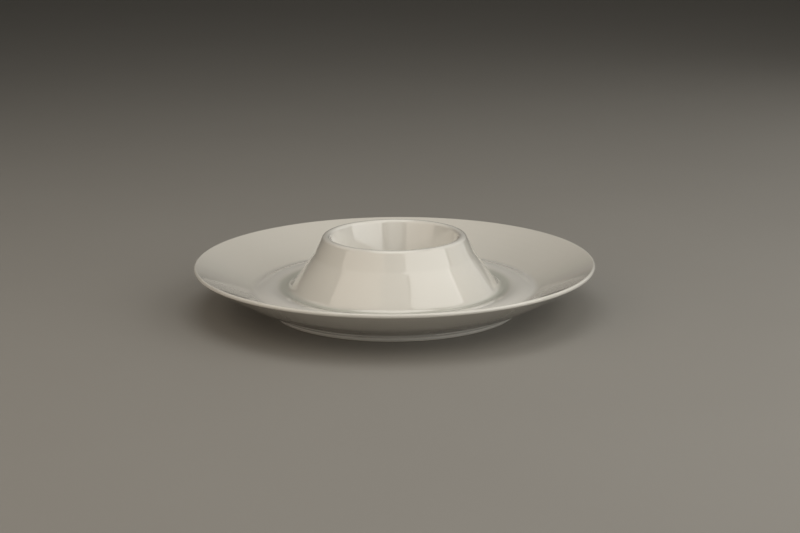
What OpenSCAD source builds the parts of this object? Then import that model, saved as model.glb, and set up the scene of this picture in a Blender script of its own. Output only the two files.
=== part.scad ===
// Egg cup and saucer in one piece of glazed porcelain, in millimetres.
// The origin is on the table, on the axis that the whole form turns about, and +Z is up.
// The form is drawn once, as a half section that starts from the egg: the hollow sets
// the cup, the cup sets the well, and the well sets the saucer and its foot.
// Its members are cut from that section where the clay changes direction,
// so they meet face to face.

/* [Egg hollow] */
// Radius at which the side of the hollow would meet the top of the lip
hollow_r = 22; // [17:0.1:27]
// Height of the floor of the hollow above the table
hollow_floor_h = 7.6; // [5:0.1:10]
// Lean of the side of the hollow, in degrees from upright
hollow_lean = 14; // [9:0.5:18]
// Thickness of the bowl round the hollow
bowl_t = 2.8; // [2:0.1:3.6]

/* [Cup] */
// Height of the cup above the table, glaze included
cup_h = 25.5; // [22:0.1:34]
// Radius that rounds the outside of the lip
lip_outer_round = 1.5; // [1:0.1:2.4]
// Radius that rounds the inside of the lip
lip_inner_round = 1; // [0.6:0.1:2]
// Width of the flat between the two roundings of the lip
lip_flat_w = 0.1; // [0.1:0.1:2]
// Height of the steep part of the wall, under the top of the lip
steep_h = 6.4; // [5:0.1:8.5]
// Lean of the steep part of the wall, in degrees from upright
steep_lean = 26.5; // [20:0.5:30]
// Lean of the wall below it, in degrees from upright
low_lean = 36; // [30:0.5:42]
// Thickness of the wall
wall_t = 2.8; // [2:0.1:3.6]
// Radius of the flare where the wall runs into the well
flare_round = 3; // [2:0.1:6]
// Height of the lip, from its top down to its joint with wall and bowl
lip_band_h = 7.6; // [6:0.1:9.5]

/* [Well] */
// Height of the well floor above the table, where it meets the cup
well_h = 7.1; // [6.5:0.1:9.5]
// Width of the well floor
well_w = 7.5; // [5:0.1:10]
// Rise of the well floor from the cup to the crest of the bead
well_rise = 1.4; // [0.5:0.05:1.5]
// Thickness of the well floor
floor_t = 3.6; // [2.5:0.1:4.2]
// Width of the bead's outer side, from its crest to the flange
bead_w = 4.9; // [4:0.1:7]
// Fall of the bead over that width
bead_fall = 1.35; // [0.4:0.05:1.5]

/* [Flange] */
// Width of the flange, from the bead to the edge
flange_w = 19.4; // [14:0.1:30]
// Slope of its upper face, in degrees
flange_slope = 25.1; // [22:0.1:28]
// Slope of its underside next to the edge, in degrees
under_slope = 31; // [28:0.5:35]
// Width of the outer part of the underside, which has that slope
outer_under_w = 12.8; // [8:0.1:14]
// Radius that rounds the edge
edge_round = 0.45; // [0.4:0.05:1.2]
// Width of the edge band
edge_band_w = 5.2; // [3:0.1:8]

/* [Foot] */
// How far the outer face of the foot stands in from the crest of the bead
foot_inset = 1.2; // [1:0.1:4]
// Width of the ring that stands on the table
foot_w = 3; // [2:0.1:3.6]
// Height of the outer face of the foot
foot_h = 1.6; // [1.5:0.1:2.5]

/* [Glaze] */
// Thickness of the glaze
glaze_t = 0.25; // [0.15:0.05:0.35]
// Height of the unglazed band at the bottom of the foot
bare_h = 0.5; // [0.3:0.1:0.6]

/* [Hidden] */

// Radii of the smaller fillets, and how far each face of the foot leans
foot_draft = 0.3;
foot_edge_round = 0.5;
foot_fillet = 1.5;
foot_inner_fillet = 1.2;
back_fillet = 1.2;
under_fillet = 40;
flange_fillet = 4;
crest_fillet = 10;
waist_fillet = 8;
// Share of the hollow's floor that its rounding takes up
hollow_round_share = 0.45;
// Height of the joint between saucer and cup above the well floor
cup_joint_rise = 0.8;
// How far a cutting window runs past the clay
overrun = 5;
// Turn of each short face of a rounding, in degrees
face_turn = 5;
$fn = 96;

// The egg hollow: its side and its floor would meet in a corner, which is rounded
top_h = cup_h - glaze_t;
hollow_depth = top_h - hollow_floor_h;
hollow_foot_r = hollow_r - hollow_depth * tan(hollow_lean);
hollow_bend = tan(45 - hollow_lean / 2);
hollow_side = hollow_depth / cos(hollow_lean) - lip_inner_round * hollow_bend;
hollow_round = min(hollow_foot_r * hollow_round_share, hollow_side) / hollow_bend;

// The wall of the cup, from the lip down to where it would meet the well floor
lip_w = lip_flat_w + lip_inner_round * hollow_bend + lip_outer_round * tan(45 - steep_lean / 2);
lip_r = hollow_r + lip_w;
waist_r = lip_r + steep_h * tan(steep_lean);
waist_h = top_h - steep_h;
cup_base_r = waist_r + (waist_h - well_h) * tan(low_lean);

// The back of the wall runs along the wall, seen from the space under the cup
under_well_h = well_h - floor_t;
back_base_r = cup_base_r + floor_t * tan(low_lean) - wall_t / cos(low_lean);
back_waist_r = waist_r - wall_t / cos((low_lean + steep_lean) / 2);
back_top_r = lip_r - wall_t / cos(steep_lean);

// The well and its bead
well_r = cup_base_r + well_w;
crest_h = well_h + well_rise;
bead_r = well_r + bead_w;
bead_low_h = crest_h - bead_fall;

// The flange, and the circle of its edge with the two corners that it rounds
edge_r = bead_r + flange_w;
edge_top_h = bead_low_h + flange_w * tan(flange_slope);
edge_centre_h = edge_top_h - edge_round * (1 / cos(flange_slope) + tan(flange_slope));
edge_low_h = edge_centre_h - edge_round * (1 / cos(under_slope) - tan(under_slope));
edge_joint_r = edge_r - edge_band_w;
under_bend_r = edge_r - outer_under_w;
under_bend_h = edge_low_h - outer_under_w * tan(under_slope);

// The foot
foot_r = well_r - foot_inset;
foot_mid_r = foot_r - foot_w / 2;
foot_inner_r = foot_r - foot_w;

// Where the members of the cup part: the bowl's joint stands midway between bowl and wall
cup_joint_h = well_h + cup_joint_rise;
cup_joint_r = cup_base_r + flare_round;
lip_joint_h = top_h - lip_band_h;
bowl_joint_r = hollow_foot_r + (lip_joint_h - hollow_floor_h) * tan(hollow_lean) + bowl_t / cos(hollow_lean);
back_joint_r = back_base_r - (lip_joint_h - under_well_h) * tan(low_lean);
bowl_side_r = (bowl_joint_r + back_joint_r) / 2;

// Direction from one corner to another, in degrees
function heading(a, b) = atan2(b[1] - a[1], b[0] - a[0]);

// The same turn, between -180 and 180 degrees
function least(t) = t > 180 ? t - 360 : t < -180 ? t + 360 : t;

// The short faces that round corner b, whose third value is the radius of the rounding
function rounding(a, b, c) =
    let (h = heading(a, b))
    let (t = least(heading(b, c) - h))
    let (side = sign(t))
    let (reach = b[2] * tan(abs(t) / 2))
    let (start = [b[0] - reach * cos(h), b[1] - reach * sin(h)])
    let (centre = start + side * b[2] * [-sin(h), cos(h)])
    let (faces = max(2, ceil(abs(t) / face_turn)))
    [for (i = [0:faces]) centre + side * b[2] * [sin(h + t * i / faces), -cos(h + t * i / faces)]];

// The outline through a table of corners: those with a third value are rounded
function outline(corners) = [
    for (i = [0:len(corners) - 1])
        each len(corners[i]) == 2
            ? [corners[i]]
            : rounding(corners[i - 1], corners[i], corners[i + 1])
];

// The outline moved to its right by t, or to its left where t is below zero
function moved(points, t) = [
    for (i = [0:len(points) - 1])
        let (last = len(points) - 1)
        let (h = i == last ? 180 : heading(points[max(i - 1, 0)], points[min(i + 1, last)]))
        points[i] + t * [sin(h), -cos(h)]
];

function reversed(points) = [for (i = [len(points) - 1:-1:0]) points[i]];

// Clay surface from the foot out under the saucer, round its edge, in over the flange
// and the well, up the cup, over its lip and down to the middle of the hollow
outer_outline = outline([
    [foot_mid_r, 0],
    [foot_r, 0, foot_edge_round],
    [foot_r + foot_draft, foot_h, foot_fillet],
    [under_bend_r, under_bend_h, under_fillet],
    [edge_r, edge_low_h, edge_round],
    [edge_r, edge_top_h, edge_round],
    [bead_r, bead_low_h, flange_fillet],
    [well_r, crest_h, crest_fillet],
    [cup_base_r, well_h, flare_round],
    [waist_r, waist_h, waist_fillet],
    [lip_r, top_h, lip_outer_round],
    [hollow_r, top_h, lip_inner_round],
    [hollow_foot_r, hollow_floor_h, hollow_round],
    [0, hollow_floor_h]
]);

// Clay surface from the foot in under the well and up behind the wall of the cup
back_outline = outline([
    [foot_mid_r, -overrun],
    [foot_mid_r, 0],
    [foot_inner_r, 0, foot_edge_round],
    [foot_inner_r - foot_draft, under_well_h, foot_inner_fillet],
    [back_base_r, under_well_h, back_fillet],
    [back_waist_r, waist_h, waist_fillet + wall_t],
    [back_top_r, top_h],
    [0, top_h]
]);

// Half section of the hollow with a bowl of thickness t round it
module bowl_section(t) {
    polygon(outline([
        [0, top_h],
        [hollow_r + t / cos(hollow_lean), top_h],
        [hollow_foot_r + t * hollow_bend, hollow_floor_h - t, hollow_round + t],
        [0, hollow_floor_h - t]
    ]));
}

// Half section of the space under the saucer and the cup, less a coat of thickness t
module space_section(t) {
    difference() {
        polygon(concat(moved(back_outline, -t), [[0, -overrun]]));
        bowl_section(bowl_t + t);
    }
}

// Half section of all the clay
module clay_section() {
    difference() {
        polygon(concat(outer_outline, [[0, 0]]));
        space_section(0);
    }
}

// Window of the half section between two radii and two heights
module window(r0, r1, h0, h1) {
    translate([r0, h0])
        square([r1 - r0, h1 - h0]);
}

// Window of the saucer between two radii, over its whole height
module saucer_window(r0, r1) {
    window(r0, r1, 0, edge_top_h);
}

module foot_window() {
    window(foot_inner_r - overrun, foot_r, -overrun, under_well_h);
}

module bowl_window() {
    window(0, bowl_side_r, 0, lip_joint_h);
}

module lip_window() {
    window(0, cup_joint_r, lip_joint_h, cup_h);
}

module wall_window() {
    window(bowl_side_r, cup_joint_r, cup_joint_h, lip_joint_h);
}

module well_window() {
    difference() {
        saucer_window(0, well_r);
        foot_window();
        bowl_window();
        lip_window();
        wall_window();
    }
}

// The clay that shows through a window, turned about the axis
module turned_clay() {
    color("linen")
        rotate_extrude()
            intersection() {
                clay_section();
                children();
            }
}

module foot_ring() {
    turned_clay()
        foot_window();
}

module saucer_well() {
    turned_clay()
        well_window();
}

module saucer_bead() {
    turned_clay()
        saucer_window(well_r, bead_r);
}

module saucer_flange() {
    turned_clay()
        saucer_window(bead_r, edge_joint_r);
}

module saucer_edge() {
    turned_clay()
        saucer_window(edge_joint_r, edge_r + overrun);
}

module cup_wall() {
    turned_clay()
        wall_window();
}

module cup_lip() {
    turned_clay()
        lip_window();
}

module egg_bowl() {
    turned_clay()
        bowl_window();
}

// The glaze above the bare band of the foot
module turned_glaze() {
    color("ivory")
        rotate_extrude()
            intersection() {
                children();
                window(0, edge_r + overrun, bare_h, cup_h + overrun);
            }
}

module outer_glaze() {
    turned_glaze()
        polygon(concat(outer_outline, reversed(moved(outer_outline, glaze_t))));
}

module underside_glaze() {
    turned_glaze()
        difference() {
            space_section(0);
            space_section(glaze_t);
        }
}

foot_ring();
saucer_well();
saucer_bead();
saucer_flange();
saucer_edge();
cup_wall();
cup_lip();
egg_bowl();
outer_glaze();
underside_glaze();
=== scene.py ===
# %% [markdown]
# # A porcelain egg cup on its saucer
#
# This lesson dresses a low egg cup whose cup and saucer are one piece of white glazed porcelain.
# The measured model already holds the clay members and the coat of glaze at their real sizes.
# It is loaded as a fixed frame, and everything made here is fitted to it.
# What remains is what the eye judges: a smooth glaze, the bare foot, the studio and the camera.

# %% Load the measured model as a fixed frame
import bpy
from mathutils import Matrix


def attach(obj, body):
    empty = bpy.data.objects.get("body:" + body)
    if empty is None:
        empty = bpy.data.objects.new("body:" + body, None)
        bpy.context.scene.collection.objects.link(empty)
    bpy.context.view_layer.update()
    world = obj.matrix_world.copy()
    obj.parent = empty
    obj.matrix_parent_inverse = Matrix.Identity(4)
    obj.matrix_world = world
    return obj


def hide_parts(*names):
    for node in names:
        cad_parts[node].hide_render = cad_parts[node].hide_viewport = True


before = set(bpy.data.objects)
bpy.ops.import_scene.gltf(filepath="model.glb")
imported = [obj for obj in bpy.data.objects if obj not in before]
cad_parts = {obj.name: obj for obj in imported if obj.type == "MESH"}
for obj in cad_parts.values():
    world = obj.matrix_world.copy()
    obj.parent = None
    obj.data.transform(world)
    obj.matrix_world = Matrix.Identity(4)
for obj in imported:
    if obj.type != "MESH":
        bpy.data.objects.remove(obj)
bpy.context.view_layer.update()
print("clay members and glaze:", ", ".join(sorted(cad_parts)))

# %% [markdown]
# ## Units and small helpers
#
# Blender works in metres, and a potter in millimetres, so every size below is a number times MM.
# Operators act on whatever is selected, and the frame arrives selected.
# So each step starts from an empty selection.

# %% Units and selection
import math
import bpy
from mathutils import Matrix, Vector

MM = 0.001
FULL_TURN = 2 * math.pi


def select_only(piece):
    """Leaves one object selected and active."""
    bpy.ops.object.select_all(action="DESELECT")
    piece.select_set(True)
    bpy.context.view_layer.objects.active = piece


def report(piece):
    """Prints how large a piece is and how many faces it has."""
    size = [round(side / MM, 2) for side in piece.dimensions]
    print(piece.name, "measures", size, "mm with", len(piece.data.polygons), "faces")


bpy.ops.object.select_all(action="DESELECT")
print("nothing is selected:", len(bpy.context.selected_objects) == 0)

# %% [markdown]
# ## The profile of the ware
#
# A cup and saucer of this kind is formed on a wheel between a plaster mould and a metal profile.
# So one half section says everything about its shape.
# It could be modelled as a stack of rings, but then each ring would have to be guessed by itself.
# It is drawn here as that metal profile instead: a few corners, each with the radius that rounds it.
# The sizes run from the egg outwards, just as in the measured model.

# %% Sizes of the cup, from the egg outwards
hollow_r = 22 * MM
hollow_floor_h = 7.6 * MM
hollow_lean = math.radians(14)
hollow_round_share = 0.45
bowl_t = 2.8 * MM
glaze_t = 0.25 * MM
top_h = 25.5 * MM - glaze_t
lip_outer_round = 1.5 * MM
lip_inner_round = 1 * MM
lip_flat_w = 0.1 * MM
steep_h = 6.4 * MM
steep_lean = math.radians(26.5)
low_lean = math.radians(36)
wall_t = 2.8 * MM
waist_round = 8 * MM
flare_round = 3 * MM
print("the cup stands", round((top_h + glaze_t) / MM, 1), "mm above the table")

# %% Sizes of the saucer and its foot
well_h = 7.1 * MM
well_w = 7.5 * MM
well_rise = 1.4 * MM
floor_t = 3.6 * MM
bead_w = 4.9 * MM
bead_fall = 1.35 * MM
crest_round = 10 * MM
flange_w = 19.4 * MM
flange_slope = math.radians(25.1)
flange_round = 4 * MM
under_slope = math.radians(31)
outer_under_w = 12.8 * MM
under_round = 40 * MM
edge_round = 0.45 * MM
foot_inset = 1.2 * MM
foot_w = 3 * MM
foot_h = 1.6 * MM
foot_draft = 0.3 * MM
foot_edge_round = 0.5 * MM
foot_fillet = 1.5 * MM
foot_inner_fillet = 1.2 * MM
back_fillet = 1.2 * MM
bare_h = 0.5 * MM
print("the coat of glaze is", round(glaze_t / MM, 2), "mm thick")

# %% Where the corners of the profile come to lie
hollow_depth = top_h - hollow_floor_h
hollow_foot_r = hollow_r - hollow_depth * math.tan(hollow_lean)
hollow_bend = math.tan(math.pi / 4 - hollow_lean / 2)
hollow_round = hollow_foot_r * hollow_round_share / hollow_bend
lip_bend = math.tan(math.pi / 4 - steep_lean / 2)
lip_w = lip_flat_w + lip_inner_round * hollow_bend + lip_outer_round * lip_bend
lip_r = hollow_r + lip_w
waist_r = lip_r + steep_h * math.tan(steep_lean)
waist_h = top_h - steep_h
cup_base_r = waist_r + (waist_h - well_h) * math.tan(low_lean)
well_r = cup_base_r + well_w
crest_h = well_h + well_rise
bead_r = well_r + bead_w
bead_low_h = crest_h - bead_fall
edge_r = bead_r + flange_w
edge_top_h = bead_low_h + flange_w * math.tan(flange_slope)
edge_rise = edge_round * (1 / math.cos(flange_slope) + math.tan(flange_slope))
edge_fall = edge_round * (1 / math.cos(under_slope) - math.tan(under_slope))
edge_low_h = edge_top_h - edge_rise - edge_fall
under_bend_r = edge_r - outer_under_w
under_bend_h = edge_low_h - outer_under_w * math.tan(under_slope)
foot_r = well_r - foot_inset
foot_inner_r = foot_r - foot_w
under_well_h = well_h - floor_t
back_base_r = cup_base_r + floor_t * math.tan(low_lean) - wall_t / math.cos(low_lean)
back_waist_r = waist_r - wall_t / math.cos((low_lean + steep_lean) / 2)
print("the saucer is", round(2 * (edge_r + glaze_t) / MM, 1), "mm wide")

# %% [markdown]
# ## From corners to a smooth line
#
# A corner is rounded by an arc that touches both of its sides.
# The arc is taken in small equal turns, so that the glaze shows no facets in a reflection.
# A straight stretch gets points of its own, a little over one millimetre apart.
# Without them the shading of a long face would lean towards the bend at its end.

# %% Round the corners of a profile
ARC_TURN = math.radians(4)
FEWEST_TURNS = 3
STRETCH = 1.3 * MM


def heading(a, b):
    """Direction from one point of the profile to another, as an angle."""
    return math.atan2(b[1] - a[1], b[0] - a[0])


def rounded(a, b, c):
    """Points of the arc that rounds corner b, whose third value is its radius."""
    arrival = heading(a, b)
    turn = (heading(b, c) - arrival + math.pi) % FULL_TURN - math.pi
    side = math.copysign(1, turn)
    reach = b[2] * math.tan(abs(turn) / 2)
    start_r = b[0] - reach * math.cos(arrival)
    start_h = b[1] - reach * math.sin(arrival)
    centre_r = start_r - side * b[2] * math.sin(arrival)
    centre_h = start_h + side * b[2] * math.cos(arrival)
    turns = max(FEWEST_TURNS, math.ceil(abs(turn) / ARC_TURN))
    angles = [arrival + turn * i / turns for i in range(turns + 1)]
    return [(centre_r + side * b[2] * math.sin(angle), centre_h - side * b[2] * math.cos(angle))
            for angle in angles]


def profile(corners):
    """A smooth line through a list of corners, with points along its straight stretches."""
    bends = []
    for i, corner in enumerate(corners):
        following = corners[(i + 1) % len(corners)]
        bends += rounded(corners[i - 1], corner, following) if len(corner) == 3 else [corner]
    line = [bends[0]]
    for point in bends[1:]:
        last = line[-1]
        parts = max(1, math.ceil(math.dist(last, point) / STRETCH))
        line += [(last[0] + (point[0] - last[0]) * i / parts, last[1] + (point[1] - last[1]) * i / parts)
                 for i in range(1, parts + 1)]
    return line


# %% The outer line, from the foot round the edge, over the cup and down to the egg
foot_lean = foot_draft / foot_h
outer_line = profile([
    (foot_r + foot_lean * bare_h, bare_h),
    (foot_r + foot_draft, foot_h, foot_fillet),
    (under_bend_r, under_bend_h, under_round),
    (edge_r, edge_low_h, edge_round),
    (edge_r, edge_top_h, edge_round),
    (bead_r, bead_low_h, flange_round),
    (well_r, crest_h, crest_round),
    (cup_base_r, well_h, flare_round),
    (waist_r, waist_h, waist_round),
    (lip_r, top_h, lip_outer_round),
    (hollow_r, top_h, lip_inner_round),
    (hollow_foot_r, hollow_floor_h, hollow_round),
    (0, hollow_floor_h),
])
print("the outer line has", len(outer_line), "points")

# %% [markdown]
# ## Throwing a line on the wheel
#
# In edit mode a line is drawn as by hand: one vertex is extruded from point to point.
# The spin operator then turns that line about the upright axis, which is what the wheel does.
# Spin leaves a seam where it closes and many vertices at the pole, so doubles are merged.
# An open skin has no inside that Blender could find, so its faces are turned by a plain test:
# the highest face lies on the lip or at the top of the space under the cup, and it must look
# away from the clay.

# %% Draw a line and turn it on the wheel
WHEEL_STEPS = 180
SAME_PLACE = 0.001 * MM


def draw_line(name, line, closed=False):
    """A new object that holds one line of vertices in the XZ plane."""
    bpy.ops.object.select_all(action="DESELECT")
    bpy.ops.mesh.primitive_plane_add(size=MM)
    piece = bpy.context.object
    piece.name = piece.data.name = name
    bpy.ops.object.mode_set(mode="EDIT")
    bpy.ops.mesh.select_all(action="SELECT")
    bpy.ops.mesh.merge(type="CENTER")
    bpy.ops.transform.translate(value=(line[0][0], 0, line[0][1]))
    stops = line + [line[0]] if closed else line
    for last, point in zip(stops, stops[1:]):
        move = (point[0] - last[0], 0, point[1] - last[1])
        bpy.ops.mesh.extrude_vertices_move(TRANSFORM_OT_translate={"value": move})
    bpy.ops.object.mode_set(mode="OBJECT")
    return piece


def turn_on_wheel(piece):
    """Spins the line once about the upright axis and merges the seam and the pole."""
    select_only(piece)
    bpy.ops.object.mode_set(mode="EDIT")
    bpy.ops.mesh.select_all(action="SELECT")
    bpy.ops.mesh.spin(steps=WHEEL_STEPS, angle=FULL_TURN, center=(0, 0, 0), axis=(0, 0, 1))
    bpy.ops.mesh.select_all(action="SELECT")
    bpy.ops.mesh.remove_doubles(threshold=SAME_PLACE)
    bpy.ops.mesh.normals_make_consistent(inside=False)
    bpy.ops.object.mode_set(mode="OBJECT")
    bpy.ops.object.shade_smooth()


def face_top(piece, upwards):
    """Turns all faces over if the highest one looks the wrong way."""
    highest = max(piece.data.polygons, key=lambda face: face.center.z)
    looks_up = highest.normal.z > 0
    if looks_up != upwards:
        select_only(piece)
        bpy.ops.object.mode_set(mode="EDIT")
        bpy.ops.mesh.select_all(action="SELECT")
        bpy.ops.mesh.flip_normals()
        bpy.ops.object.mode_set(mode="OBJECT")


def coat(piece, thickness):
    """Gives a skin its thickness, outwards from the clay."""
    select_only(piece)
    wall = piece.modifiers.new("coat", "SOLIDIFY")
    wall.thickness = thickness
    wall.offset = 1
    wall.use_even_offset = True
    bpy.ops.object.modifier_apply(modifier=wall.name)


print("the wheel takes", WHEEL_STEPS, "steps for one turn")

# %% [markdown]
# ## The glaze that shows
#
# The ware is dipped in glaze, so one coat runs from the foot round the edge and over the saucer.
# It climbs the cup, rolls over the lip and covers the hollow for the egg.
# It is made as a skin on the clay's own line, and Solidify then adds the thickness of the glaze.

# %% Make the outer coat of glaze
outer_coat = draw_line("outer_glaze_coat", outer_line)
turn_on_wheel(outer_coat)
face_top(outer_coat, upwards=True)
coat(outer_coat, glaze_t)
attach(outer_coat, "root")
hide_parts("outer_glaze")
report(outer_coat)

# %% [markdown]
# ## The glaze that only shows when the ware is turned over
#
# Inside the foot the glaze runs under the well, up behind the wall of the cup and down round the
# bowl that holds the egg. Wall and bowl meet in a narrow groove.
# Glaze gathers there in the kiln and rounds it, so the line turns in the groove with a small arc.

# %% The line of the underside
bowl_round = hollow_round + bowl_t
bowl_foot_r = hollow_foot_r + bowl_t * hollow_bend
groove_h = 18.2 * MM
groove_round = 0.4 * MM
back_run = (back_base_r - back_waist_r) / (waist_h - under_well_h)
groove_wall_r = back_base_r - back_run * (groove_h - under_well_h)
bowl_side_r = hollow_foot_r + bowl_t / math.cos(hollow_lean)
groove_bowl_r = bowl_side_r + (groove_h - hollow_floor_h) * math.tan(hollow_lean)
under_line = profile([
    (foot_inner_r, bare_h),
    (foot_inner_r - foot_draft, under_well_h, foot_inner_fillet),
    (back_base_r, under_well_h, back_fillet),
    (groove_wall_r, groove_h, groove_round),
    (groove_bowl_r, groove_h, groove_round),
    (bowl_foot_r, hollow_floor_h - bowl_t, bowl_round),
    (0, hollow_floor_h - bowl_t),
])
print("the line of the underside has", len(under_line), "points")

# %% Make the coat of glaze on the underside
under_coat = draw_line("underside_glaze_coat", under_line)
turn_on_wheel(under_coat)
face_top(under_coat, upwards=False)
coat(under_coat, glaze_t)
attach(under_coat, "root")
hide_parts("underside_glaze")
report(under_coat)

# %% [markdown]
# ## The foot that stands bare
#
# The ware stands on this ring in the kiln, so its glaze is wiped off before the firing.
# Glaze would fuse it to the shelf. What shows is dense matte biscuit with the marks of the wheel.
# It is one closed ring, drawn as a line that ends where it began and turned on the wheel.

# %% Make the bare foot ring
foot_line = profile([
    (foot_r - foot_w / 2, 0),
    (foot_r, 0, foot_edge_round),
    (foot_r + foot_draft, foot_h),
    (foot_r + foot_draft, under_well_h),
    (foot_inner_r - foot_draft, under_well_h),
    (foot_inner_r, 0, foot_edge_round),
])
bare_foot = draw_line("bare_foot_ring", foot_line, closed=True)
turn_on_wheel(bare_foot)
face_top(bare_foot, upwards=True)
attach(bare_foot, "root")
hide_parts("foot_ring")
report(bare_foot)

# %% [markdown]
# ## Finishes from nodes
#
# A finish is a tree of nodes that reads the place of each point on the ware.
# One helper adds a node, sets its values and plugs its inputs, so a finish reads like a recipe.
# Effects that more than one finish uses are built once, as groups with named inputs.

# %% A helper that places nodes, and one that starts a group
def place(tree, kind, settings=None, values=None, plugs=None):
    """Adds a node, sets its options and its values, and plugs sockets into its inputs."""
    node = tree.nodes.new(kind)
    for key, setting in (settings or {}).items():
        setattr(node, key, setting)
    for key, value in (values or {}).items():
        node.inputs[key].default_value = value
    for key, socket in (plugs or {}).items():
        tree.links.new(socket, node.inputs[key])
    return node


def start_group(name, inputs, output, output_kind):
    """A node group with a Vector input, float inputs with their usual values, and one output."""
    group = bpy.data.node_groups.new(name, "ShaderNodeTree")
    group.interface.new_socket("Vector", in_out="INPUT", socket_type="NodeSocketVector")
    for key, usual in inputs.items():
        socket = group.interface.new_socket(key, in_out="INPUT", socket_type="NodeSocketFloat")
        socket.default_value = usual
    group.interface.new_socket(output, in_out="OUTPUT", socket_type=output_kind)
    return group, group.nodes.new("NodeGroupInput"), group.nodes.new("NodeGroupOutput")


print("helpers are ready")

# %% [markdown]
# ## Marks of the wheel
#
# The metal profile leaves faint rings in the clay, and the glaze softens them but keeps them.
# They show as the slightest waver in a reflection. A Wave texture in rings about the upright axis
# gives the rings, and some noise keeps them from looking machined.

# %% Group: marks of the wheel
FLOAT = "NodeSocketFloat"

wheel_group, wheel_in, wheel_out = start_group(
    "wheel_marks", {"Rings per metre": 150.0, "Unevenness": 2.0}, "Height", FLOAT)
rings = place(wheel_group, "ShaderNodeTexWave",
              {"wave_type": "RINGS", "rings_direction": "Z", "wave_profile": "SIN"},
              {"Detail": 3.0, "Detail Scale": 1.5},
              {"Vector": wheel_in.outputs["Vector"], "Scale": wheel_in.outputs["Rings per metre"],
               "Distortion": wheel_in.outputs["Unevenness"]})
wheel_group.links.new(rings.outputs["Fac"], wheel_out.inputs["Height"])
print("made the group", wheel_group.name)

# %% [markdown]
# ## Waves and orange peel in the glaze
#
# Melted glaze settles almost flat, but never quite. Two sizes of noise are added up:
# slow waves a centimetre or two long, and a fine peel of a millimetre or so.

# %% Group: waves in the glaze
waves_group, waves_in, waves_out = start_group(
    "glaze_waves", {"Waves per metre": 70.0, "Peel per metre": 900.0, "Peel share": 0.02},
    "Height", FLOAT)
slow = place(waves_group, "ShaderNodeTexNoise", None, {"Detail": 1.0, "Roughness": 0.4},
             {"Vector": waves_in.outputs["Vector"], "Scale": waves_in.outputs["Waves per metre"]})
peel = place(waves_group, "ShaderNodeTexNoise", None, {"Detail": 2.0, "Roughness": 0.5},
             {"Vector": waves_in.outputs["Vector"], "Scale": waves_in.outputs["Peel per metre"]})
both = place(waves_group, "ShaderNodeMath", {"operation": "MULTIPLY_ADD"}, None,
             {0: peel.outputs["Fac"], 1: waves_in.outputs["Peel share"], 2: slow.outputs["Fac"]})
waves_group.links.new(both.outputs["Value"], waves_out.inputs["Height"])
print("made the group", waves_group.name)

# %% [markdown]
# ## Specks
#
# A few grains of iron are found in every batch of clay, and they burn to brown points.
# A Voronoi texture deals out the cells, and only a small share of the cells gets a speck.

# %% Group: specks
specks_group, specks_in, specks_out = start_group(
    "specks", {"Cells per metre": 300.0, "Speck size": 0.06, "Share of cells": 0.04}, "Mask", FLOAT)
cells = place(specks_group, "ShaderNodeTexVoronoi", None, None,
              {"Vector": specks_in.outputs["Vector"], "Scale": specks_in.outputs["Cells per metre"]})
near = place(specks_group, "ShaderNodeMapRange", {"interpolation_type": "SMOOTHSTEP"},
             {"From Min": 0.0, "To Min": 1.0, "To Max": 0.0},
             {"Value": cells.outputs["Distance"], "From Max": specks_in.outputs["Speck size"]})
dealt = place(specks_group, "ShaderNodeSeparateColor", None, None, {"Color": cells.outputs["Color"]})
chosen = place(specks_group, "ShaderNodeMath", {"operation": "LESS_THAN"}, None,
               {0: dealt.outputs["Red"], 1: specks_in.outputs["Share of cells"]})
speck = place(specks_group, "ShaderNodeMath", {"operation": "MULTIPLY"}, None,
              {0: near.outputs["Result"], 1: chosen.outputs["Value"]})
specks_group.links.new(speck.outputs["Value"], specks_out.inputs["Mask"])
print("made the group", specks_group.name)

# %% [markdown]
# ## Where on the ware a point lies
#
# Glaze runs while it melts: it is thin on lip and edge, and pools at the foot of the cup.
# The trough there also gets painted shade and the bead painted light,
# so the finish needs to know how far a point is from the axis.
# This group gives a soft band between two radii.

# %% Group: a soft band between two radii
band_group, band_in, band_out = start_group(
    "radius_band", {"Inner": 0.03, "Outer": 0.04, "Blur": 0.002}, "Mask", FLOAT)
flat = place(band_group, "ShaderNodeVectorMath", {"operation": "MULTIPLY"}, {1: (1.0, 1.0, 0.0)},
             {0: band_in.outputs["Vector"]})
radius = place(band_group, "ShaderNodeVectorMath", {"operation": "LENGTH"}, None,
               {0: flat.outputs["Vector"]})
inner_end = place(band_group, "ShaderNodeMath", {"operation": "ADD"}, None,
                  {0: band_in.outputs["Inner"], 1: band_in.outputs["Blur"]})
outer_end = place(band_group, "ShaderNodeMath", {"operation": "SUBTRACT"}, None,
                  {0: band_in.outputs["Outer"], 1: band_in.outputs["Blur"]})
rise = place(band_group, "ShaderNodeMapRange", {"interpolation_type": "SMOOTHSTEP"}, None,
             {"Value": radius.outputs["Value"], "From Min": band_in.outputs["Inner"],
              "From Max": inner_end.outputs["Value"]})
fall = place(band_group, "ShaderNodeMapRange", {"interpolation_type": "SMOOTHSTEP"},
             {"To Min": 1.0, "To Max": 0.0},
             {"Value": radius.outputs["Value"], "From Min": outer_end.outputs["Value"],
              "From Max": band_in.outputs["Outer"]})
band = place(band_group, "ShaderNodeMath", {"operation": "MULTIPLY"}, None,
             {0: rise.outputs["Result"], 1: fall.outputs["Result"]})
band_group.links.new(band.outputs["Value"], band_out.inputs["Mask"])
print("made the group", band_group.name)

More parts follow.
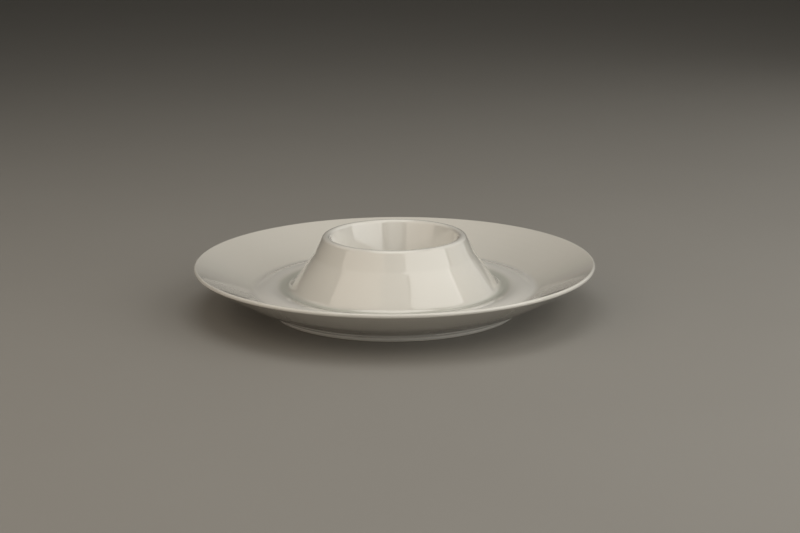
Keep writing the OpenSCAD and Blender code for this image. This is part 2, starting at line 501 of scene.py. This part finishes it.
# %% Start a finish, and put a group into it
def start_finish(name, constants):
    """A material with its Principled shader and a reader of Object coordinates."""
    finish = bpy.data.materials.new(name)
    finish.use_nodes = True
    tree = finish.node_tree
    tree.nodes.clear()
    shader = place(tree, "ShaderNodeBsdfPrincipled", None, constants)
    place(tree, "ShaderNodeOutputMaterial", None, None, {"Surface": shader.outputs["BSDF"]})
    point = place(tree, "ShaderNodeTexCoord").outputs["Object"]
    return finish, tree, shader, point


def use_group(tree, group, point, values):
    """Places a group in a finish, reading the point, and gives its one output."""
    node = place(tree, "ShaderNodeGroup", {"node_tree": group}, values, {"Vector": point})
    return node.outputs[0]


MIX_UNDER, MIX_OVER, MIX_RESULT = 6, 7, 2  # the colour sockets of a Mix node


def tint(tree, mask, share, under, over):
    """Mixes a colour over another where the mask says so, by at most a share."""
    amount = place(tree, "ShaderNodeMath", {"operation": "MULTIPLY"}, {1: share}, {0: mask})
    mix = place(tree, "ShaderNodeMix", {"data_type": "RGBA"}, None, {0: amount.outputs["Value"]})
    for socket, colour in ((mix.inputs[MIX_UNDER], under), (mix.inputs[MIX_OVER], over)):
        if isinstance(colour, bpy.types.NodeSocket):
            tree.links.new(colour, socket)
        else:
            socket.default_value = (*colour, 1.0)
    return mix.outputs[MIX_RESULT]


print("finishes can be made")

# %% [markdown]
# ## The glaze
#
# Porcelain glaze is a glass over a white body. The Principled shader has both: a base that gives
# the warm white of the body, and a clear coat that gives the glassy shine.
# The body's white wanders a little. Round the foot of the cup the glaze greys where it pools, and there
# it also carries painted shade of the trough. The middle of the hollow is a little greyer, lip and
# hollow wall a little lighter, the glaze runs thin on the saucer's edge and lets the body through there,
# and the bead carries painted light.

# %% Finish: ivory glaze
IVORY = (0.70, 0.675, 0.615)
IVORY_SHADE = (0.665, 0.635, 0.565)
# A greenish grey for glaze that pools, and for painted shade in the trough round the cup.
POOL_AND_SHADE_GREY = (0.44, 0.46, 0.39)
# A lighter white for glaze that runs thin, and for painted light on the bead.
THIN_AND_PAINTED_LIGHT = (0.76, 0.74, 0.69)
IRON = (0.16, 0.10, 0.06)

# Each band has an inner and an outer radius, its blur, and how strongly it takes which colour.
glaze_bands = {
    # Round the cup: a greenish grey of pooled glaze, and painted shade in the trough.
    "pooled glaze and painted shade round the cup": (cup_base_r - 1 * MM, cup_base_r + 4.5 * MM, 2.2 * MM, 0.6, POOL_AND_SHADE_GREY),
    # The middle of the hollow is a little greyer, and its wall and the lip a little lighter.
    "greyer in the middle of the hollow": (-4 * MM, 17 * MM, 3 * MM, 0.1, POOL_AND_SHADE_GREY),
    "thin on the edge": (edge_r - 0.9 * MM, edge_r + 2 * MM, 0.6 * MM, 0.15, THIN_AND_PAINTED_LIGHT),
    "lighter on lip and hollow wall": (14 * MM, lip_r + 0.6 * MM, 0.8 * MM, 0.5, THIN_AND_PAINTED_LIGHT),
    # Painted light: the bead and the well are made lighter to stand in for the light falling on them.
    "painted light on the bead": (cup_base_r + 3 * MM, bead_r + 1 * MM, 2.4 * MM, 0.9, THIN_AND_PAINTED_LIGHT),
}

glaze, tree, shader, point = start_finish("ivory_glaze", {
    "IOR": 1.5, "Coat Weight": 1.0, "Coat Roughness": 0.03, "Coat IOR": 1.5})
cloud = place(tree, "ShaderNodeTexNoise", None, {"Scale": 28.0, "Detail": 2.0}, {"Vector": point})
spots = use_group(tree, specks_group, point, {
    "Cells per metre": 260.0, "Speck size": 0.045, "Share of cells": 0.03})
body = tint(tree, cloud.outputs["Fac"], 0.6, IVORY, IVORY_SHADE)
for inner, outer, blur, share, colour in glaze_bands.values():
    mask = use_group(tree, band_group, point, {"Inner": inner, "Outer": outer, "Blur": blur})
    body = tint(tree, mask, share, body, colour)
body = tint(tree, spots, 0.5, body, IRON)
tree.links.new(body, shader.inputs["Base Color"])
print("the glaze is", ", ".join(glaze_bands), "- with", len(tree.nodes), "nodes")

# %% The shine of the glaze
haze = place(tree, "ShaderNodeTexNoise", None, {"Scale": 55.0, "Detail": 3.0}, {"Vector": point})
gloss = place(tree, "ShaderNodeMapRange", None, {"To Min": 0.09, "To Max": 0.17},
              {"Value": haze.outputs["Fac"]})
tree.links.new(gloss.outputs["Result"], shader.inputs["Roughness"])
waves = use_group(tree, waves_group, point, {})
marks = use_group(tree, wheel_group, point, {"Rings per metre": 120.0, "Unevenness": 1.5})
relief = place(tree, "ShaderNodeMath", {"operation": "MULTIPLY_ADD"}, {1: 0.12},
               {0: marks, 2: waves})
bump = place(tree, "ShaderNodeBump", None, {"Strength": 0.35, "Distance": 0.12 * MM},
             {"Height": relief.outputs["Value"]})
tree.links.new(bump.outputs["Normal"], shader.inputs["Normal"])
for coat_piece in (outer_coat, under_coat):
    coat_piece.data.materials.append(glaze)
print("glazed:", outer_coat.name, "and", under_coat.name)

# %% [markdown]
# ## Bare porcelain
#
# Where no glaze lies, fired porcelain is a dense matte stone, a little warmer than the glaze.
# The foot was wiped with a sponge and has stood on a shelf with sand, so it has rings and grains.

# %% Finish: bare porcelain
BISCUIT = (0.80, 0.77, 0.70)
BISCUIT_SHADE = (0.68, 0.63, 0.54)

biscuit, tree, shader, point = start_finish("bare_porcelain", {"IOR": 1.5})
grain = place(tree, "ShaderNodeTexNoise", None, {"Scale": 900.0, "Detail": 6.0}, {"Vector": point})
marks = use_group(tree, wheel_group, point, {"Rings per metre": 700.0, "Unevenness": 3.0})
spots = use_group(tree, specks_group, point, {"Cells per metre": 900.0, "Share of cells": 0.06})
body = tint(tree, marks, 0.5, BISCUIT, BISCUIT_SHADE)
body = tint(tree, spots, 0.6, body, IRON)
tree.links.new(body, shader.inputs["Base Color"])
rough = place(tree, "ShaderNodeMapRange", None, {"To Min": 0.6, "To Max": 0.85},
              {"Value": grain.outputs["Fac"]})
tree.links.new(rough.outputs["Result"], shader.inputs["Roughness"])
relief = place(tree, "ShaderNodeMath", {"operation": "MULTIPLY_ADD"}, {1: 0.5},
               {0: marks, 2: grain.outputs["Fac"]})
bump = place(tree, "ShaderNodeBump", None, {"Strength": 0.6, "Distance": 0.05 * MM},
             {"Height": relief.outputs["Value"]})
tree.links.new(bump.outputs["Normal"], shader.inputs["Normal"])
print("bare porcelain mixes", len(tree.nodes), "nodes")

# %% Put bare porcelain on the foot and on every clay member
bare_foot.data.materials.append(biscuit)
glaze_nodes = ("outer_glaze", "underside_glaze")
for name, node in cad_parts.items():
    finish = glaze if name in glaze_nodes else biscuit
    for slot in node.material_slots:
        slot.link = "OBJECT"
        slot.material = finish
print("finished", len(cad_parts), "members and", bare_foot.name)

# %% [markdown]
# ## The table and its backdrop
#
# The ware stands on a plain sweep: a flat table whose far side curves up into the background.
# It is a plane whose far edge is extruded upwards, and a wide bevel then rounds the fold.
# It isn't part of the egg cup.

# %% Make the sweep
SWEEP_SIDE = 6.0
SWEEP_RISE = 2.4
SWEEP_ROUND = 1.2
SWEEP_FACES = 24

bpy.ops.object.select_all(action="DESELECT")
bpy.ops.mesh.primitive_plane_add(size=SWEEP_SIDE)
sweep = bpy.context.object
sweep.name = "table_sweep"
bpy.ops.object.mode_set(mode="EDIT")
bpy.ops.mesh.select_mode(type="EDGE")
bpy.ops.mesh.select_all(action="DESELECT")
bpy.ops.object.mode_set(mode="OBJECT")
corners = sweep.data.vertices
for edge in sweep.data.edges:
    edge.select = all(corners[i].co.y > 0 for i in edge.vertices)
bpy.ops.object.mode_set(mode="EDIT")
bpy.ops.mesh.extrude_edges_move(TRANSFORM_OT_translate={"value": (0, 0, SWEEP_RISE)})
bpy.ops.mesh.select_all(action="DESELECT")
bpy.ops.object.mode_set(mode="OBJECT")
for edge in sweep.data.edges:
    ends = [corners[i].co for i in edge.vertices]
    edge.select = all(end.y > 0 and abs(end.z) < MM for end in ends)
bpy.ops.object.mode_set(mode="EDIT")
bpy.ops.mesh.bevel(offset=SWEEP_ROUND, segments=SWEEP_FACES)
bpy.ops.object.mode_set(mode="OBJECT")
bpy.ops.object.shade_smooth()
report(sweep)

# %% Finish: pale card
CARD = (0.29, 0.276, 0.25)
CARD_SHADE = (0.275, 0.26, 0.235)

card, tree, shader, point = start_finish("pale_card", {"Roughness": 0.62, "IOR": 1.45})
fibres = place(tree, "ShaderNodeTexNoise", None, {"Scale": 12.0, "Detail": 4.0}, {"Vector": point})
paper = tint(tree, fibres.outputs["Fac"], 1.0, CARD, CARD_SHADE)
tree.links.new(paper, shader.inputs["Base Color"])
sweep.data.materials.append(card)
print("the table has", card.name)

# %% [markdown]
# ## Studio light
#
# Glaze is judged by what it mirrors, so the panels are placed by the directions in which they show.
# The cone of the cup mirrors two soft windows, a warm one on the left and a brighter one on the right,
# with a dimmer wall between them behind the camera.
# A dim wall on each side keeps the flanks of the cone from going dark, and one panel overhead fills
# the hollow. A last light turns its back on the ware and washes the backdrop: the saucer and the bead
# mirror that soft glow, which has no edge that could be seen in the glaze.
# A panel is given by its brightness as the eye sees it, and its power follows from its area.

# %% Hang the panels
STUDIO_CENTRE = Vector((0, 0, 15 * MM))
FAR = 1.25
NEAR = 0.5
WARM = (1.0, 0.885, 0.76)
NEUTRAL = (1.0, 0.985, 0.95)


def soft_panel(name, stand, way, width, height, brightness, colour):
    """A soft rectangular light that stands at a place and shines one way."""
    bpy.ops.object.select_all(action="DESELECT")
    bpy.ops.object.light_add(type="AREA", location=stand)
    panel = bpy.context.object
    panel.name = name
    panel.rotation_euler = way.to_track_quat("-Z", "Y").to_euler()
    panel.data.shape = "RECTANGLE"
    panel.data.size = width
    panel.data.size_y = height
    panel.data.energy = brightness * width * height * math.pi
    panel.data.color = colour
    print(name, "measures", round(width, 2), "by", round(height, 2), "m and draws",
          round(panel.data.energy, 2), "W")


def hang_panel(name, azimuth, elevation, distance, across, upright, brightness, colour):
    """A soft panel that faces the ware, placed and sized in degrees as the ware sees it.

    Azimuth runs to the right from the camera's side. The distance is in metres."""
    turn = math.radians(azimuth)
    lift = math.radians(elevation)
    way = Vector((math.sin(turn) * math.cos(lift), -math.cos(turn) * math.cos(lift), math.sin(lift)))
    width = 2 * distance * math.tan(math.radians(across) / 2)
    height = 2 * distance * math.tan(math.radians(upright) / 2)
    soft_panel(name, STUDIO_CENTRE + way * distance, -way, width, height, brightness, colour)


hang_panel("left_window", -52, 28, NEAR, 56, 58, 0.95, WARM)
hang_panel("right_window", 55, 28, NEAR, 60, 58, 1.6, NEUTRAL)
hang_panel("middle_wall", -1, 42, FAR, 27, 66, 0.53, NEUTRAL)
hang_panel("right_wall", 116, 34, NEAR, 44, 54, 0.5, NEUTRAL)
hang_panel("left_wall", -118, 46, NEAR, 30, 26, 0.5, WARM)
hang_panel("right_wall_end", 147, 34, NEAR, 18, 50, 0.25, NEUTRAL)
hang_panel("overhead", 0, 88, NEAR, 40, 40, 1.8, NEUTRAL)

# %% Wash the backdrop
WASH_STAND = Vector((0, 1.4, 1.3))
WASH_WAY = Vector((0, 1, -0.4))
WASH_WIDTH = 2.4
WASH_HEIGHT = 1.0
WASH_BRIGHTNESS = 2.0

soft_panel("backdrop_wash", WASH_STAND, WASH_WAY, WASH_WIDTH, WASH_HEIGHT, WASH_BRIGHTNESS, NEUTRAL)

# %% Light of the room
ROOM = (0.04, 0.039, 0.036)

world = bpy.data.worlds.new("room")
bpy.context.scene.world = world
world.use_nodes = True
world.node_tree.nodes["Background"].inputs["Color"].default_value = (*ROOM, 1.0)
world.node_tree.nodes["Background"].inputs["Strength"].default_value = 1.0
print("the room's own light is", ROOM)

# %% [markdown]
# ## The camera
#
# The camera looks down on the ware from a little above table height, through a long lens.
# Its place was found from the ellipses of the saucer, the lip and the foot.

# %% Set up the camera
CAMERA_DISTANCE = 0.700
CAMERA_ELEVATION = math.radians(14.22)
CAMERA_ROLL = math.radians(-0.36)
CAMERA_TARGET = Vector((1.84 * MM, 0, 14.33 * MM))
FOCAL_MM = 93.23
SENSOR_MM = 36.0

back_off = Vector((0, -math.cos(CAMERA_ELEVATION), math.sin(CAMERA_ELEVATION)))
aim = Matrix.Rotation(math.pi / 2 - CAMERA_ELEVATION, 3, "X") @ Matrix.Rotation(CAMERA_ROLL, 3, "Z")
bpy.ops.object.select_all(action="DESELECT")
bpy.ops.object.camera_add(location=CAMERA_TARGET + back_off * CAMERA_DISTANCE, rotation=aim.to_euler())
camera = bpy.context.object
camera.data.sensor_width = SENSOR_MM
camera.data.lens = FOCAL_MM
camera.data.clip_start = 0.01
bpy.context.scene.camera = camera
print("the camera stands at", [round(x, 4) for x in camera.location])

# %% Colours are shown as they are
bpy.context.scene.view_settings.view_transform = "Standard"
print("view transform:", bpy.context.scene.view_settings.view_transform)
